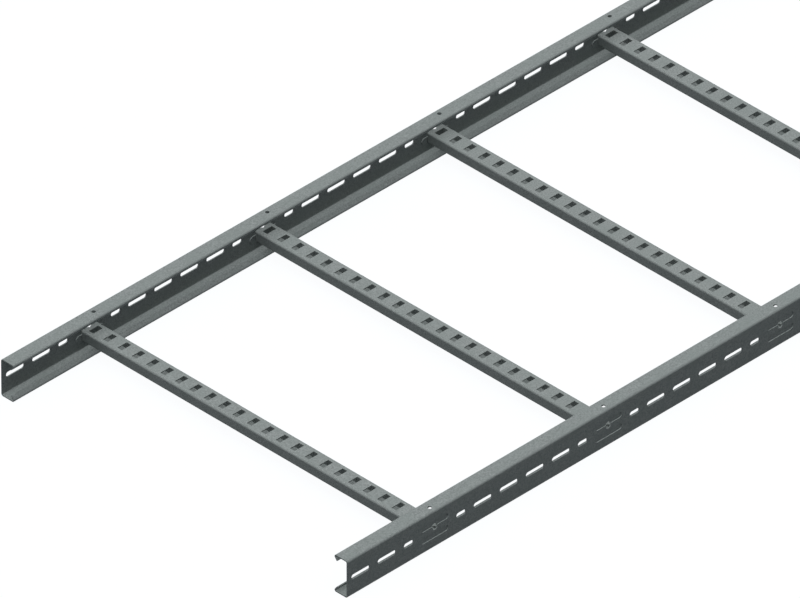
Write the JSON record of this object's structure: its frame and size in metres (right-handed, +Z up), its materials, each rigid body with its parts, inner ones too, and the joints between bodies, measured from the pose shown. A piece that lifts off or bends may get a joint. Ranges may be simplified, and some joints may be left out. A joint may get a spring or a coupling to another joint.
{
  "type": "cable ladder section",
  "caption": "Straight steel cable ladder length: two slotted channel side rails with lips, joined by slotted channel rungs.",
  "frame": {"origin": "centre of the section's footprint, on the plane of the lower flanges it rests on", "axes": "+X along the side rails, +Y across the ladder towards the left rail, +Z up, from the lower flanges to the upper ones"},
  "size_m": [3, 0.6, 0.055],
  "materials": {
    "rail_steel": "plain galvanised sheet steel, fine grey speckle, satin",
    "rung_steel": "plain galvanised sheet steel, fine grey speckle, satin"
  },
  "bodies": {
    "root": {"side_rail_left": "rail_steel", "side_rail_right": "rail_steel", "rung_01": "rung_steel", "rung_02": "rung_steel", "rung_03": "rung_steel", "rung_04": "rung_steel", "rung_05": "rung_steel", "rung_06": "rung_steel", "rung_07": "rung_steel", "rung_08": "rung_steel", "rung_09": "rung_steel", "rung_10": "rung_steel"}
  },
  "joints": []
}
